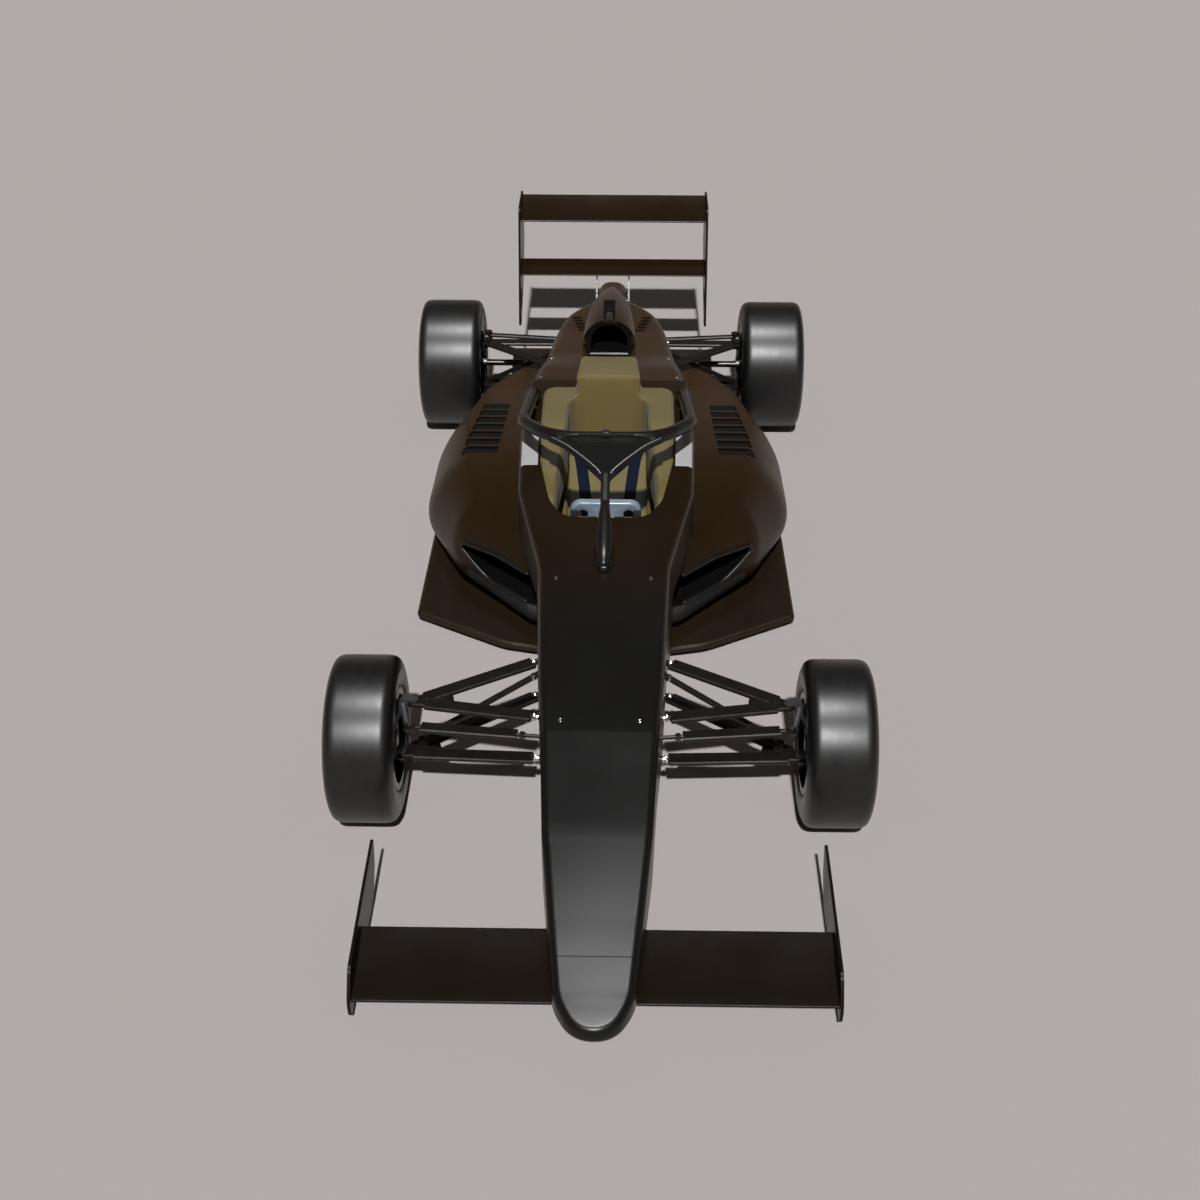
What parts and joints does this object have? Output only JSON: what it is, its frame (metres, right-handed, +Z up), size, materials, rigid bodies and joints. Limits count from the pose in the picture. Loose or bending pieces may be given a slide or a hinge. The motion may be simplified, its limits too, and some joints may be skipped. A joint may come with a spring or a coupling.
{
  "type": "open wheel racing car",
  "caption": "Single seat open wheel racing car with a halo over the cockpit, wings at both ends, sidepods and slick tyres.",
  "frame": {"origin": "middle of the car's length and width, on the ground under the tyres", "axes": "-Y forwards, +X to the car's left, +Z up"},
  "size_m": [1.832, 5.051, 0.9993],
  "materials": {
    "gloss_body": "gloss clear-coated dark panels",
    "floor_board": "satin dark board",
    "plank": "matte laminated wood",
    "core": "matte finned metal",
    "padding": "olive padding",
    "webbing": "navy woven belt",
    "steel": "satin steel",
    "links": "gloss dark links",
    "wheel_grip": "pale grey moulding",
    "castings": "cast light metal",
    "crash_box": "satin dark board",
    "lamp": "red lens",
    "tyre": "matte slick rubber",
    "rim": "satin black light alloy",
    "disc": "ground iron"
  },
  "bodies": {
    "chassis": {"nose_cone": "gloss_body", "monocoque": "gloss_body", "floor_pan": "floor_board", "skid_plank": "plank", "diffuser": "floor_board", "engine_cover": "gloss_body", "sidepod_left": "gloss_body", "sidepod_right": "gloss_body", "radiators": "core", "camera_pod": "gloss_body", "halo": "gloss_body", "headrest": "padding", "seat": "padding", "seat_belts": "webbing", "steering_column": "steel", "front_wing_plane": "gloss_body", "rear_wing_plane": "gloss_body", "rear_beam_wing": "gloss_body", "front_wing_endplates": "gloss_body", "rear_wing_endplates": "gloss_body", "front_wing_pylons": "gloss_body", "rear_wing_pylons": "steel", "engine": "castings", "gearbox": "castings", "crash_structure": "crash_box", "rear_lamp": "lamp", "front_upper_wishbones": "links", "front_lower_wishbones": "links", "front_pushrods": "links", "rear_upper_wishbones": "links", "rear_lower_wishbones": "links", "rear_toe_links": "links", "rear_pushrods": "links", "rear_uprights": "castings"},
    "steering_wheel": {"steering_wheel": "wheel_grip"},
    "knuckle_left": {"front_upright_left": "castings"},
    "track_rod_left": {"track_rod_left": "steel"},
    "wheel_front_left": {"tyre_front_left": "tyre", "rim_front_left": "rim", "brake_disc_front_left": "disc"},
    "wheel_rear_left": {"tyre_rear_left": "tyre", "rim_rear_left": "rim", "brake_disc_rear_left": "disc", "drive_shaft_left": "steel"},
    "knuckle_right": {"front_upright_right": "castings"},
    "track_rod_right": {"track_rod_right": "steel"},
    "wheel_front_right": {"tyre_front_right": "tyre", "rim_front_right": "rim", "brake_disc_front_right": "disc"},
    "wheel_rear_right": {"tyre_rear_right": "tyre", "rim_rear_right": "rim", "brake_disc_rear_right": "disc", "drive_shaft_right": "steel"}
  },
  "joints": [
    {"name": "steer_left", "type": "hinge", "parent": "chassis", "child": "knuckle_left", "pos_m": [0.692, -1.2635, 0.218], "axis": [-0.2397, 0.0738, 0.968], "range_deg": [-16, 16]},
    {"name": "track_rod_left_pivot", "type": "hinge", "parent": "knuckle_left", "child": "track_rod_left", "pos_m": [0.64, -1.3675, 0.418], "axis": [-0.2397, 0.0738, 0.968], "range_deg": [-16, 16]},
    {"name": "wheel_front_left_spin", "type": "hinge", "parent": "knuckle_left", "child": "wheel_front_left", "pos_m": [0.799, -1.2695, 0.288], "axis": [1, 0, 0], "continuous": true},
    {"name": "wheel_rear_left_spin", "type": "hinge", "parent": "chassis", "child": "wheel_rear_left", "pos_m": [0.765, 1.6555, 0.299], "axis": [1, 0, 0], "continuous": true},
    {"name": "steer_right", "type": "hinge", "parent": "chassis", "child": "knuckle_right", "pos_m": [-0.692, -1.2635, 0.218], "axis": [0.2397, 0.0738, 0.968], "range_deg": [-16, 16]},
    {"name": "track_rod_right_pivot", "type": "hinge", "parent": "knuckle_right", "child": "track_rod_right", "pos_m": [-0.64, -1.3675, 0.418], "axis": [0.2397, 0.0738, 0.968], "range_deg": [-16, 16]},
    {"name": "wheel_front_right_spin", "type": "hinge", "parent": "knuckle_right", "child": "wheel_front_right", "pos_m": [-0.799, -1.2695, 0.288], "axis": [1, 0, 0], "continuous": true},
    {"name": "wheel_rear_right_spin", "type": "hinge", "parent": "chassis", "child": "wheel_rear_right", "pos_m": [-0.765, 1.6555, 0.299], "axis": [1, 0, 0], "continuous": true},
    {"name": "steering_wheel_turn", "type": "hinge", "parent": "chassis", "child": "steering_wheel", "pos_m": [0, -0.2075, 0.548], "axis": [0, 0.9703, 0.2419], "range_deg": [-144, 144]}
  ],
  "couplings": [
    {"joint": "track_rod_left_pivot", "follows": "steer_left", "ratio": -1},
    {"joint": "track_rod_right_pivot", "follows": "steer_left", "ratio": -1},
    {"joint": "steer_right", "follows": "steer_left", "ratio": 1},
    {"joint": "steering_wheel_turn", "follows": "steer_left", "ratio": 9}
  ]
}
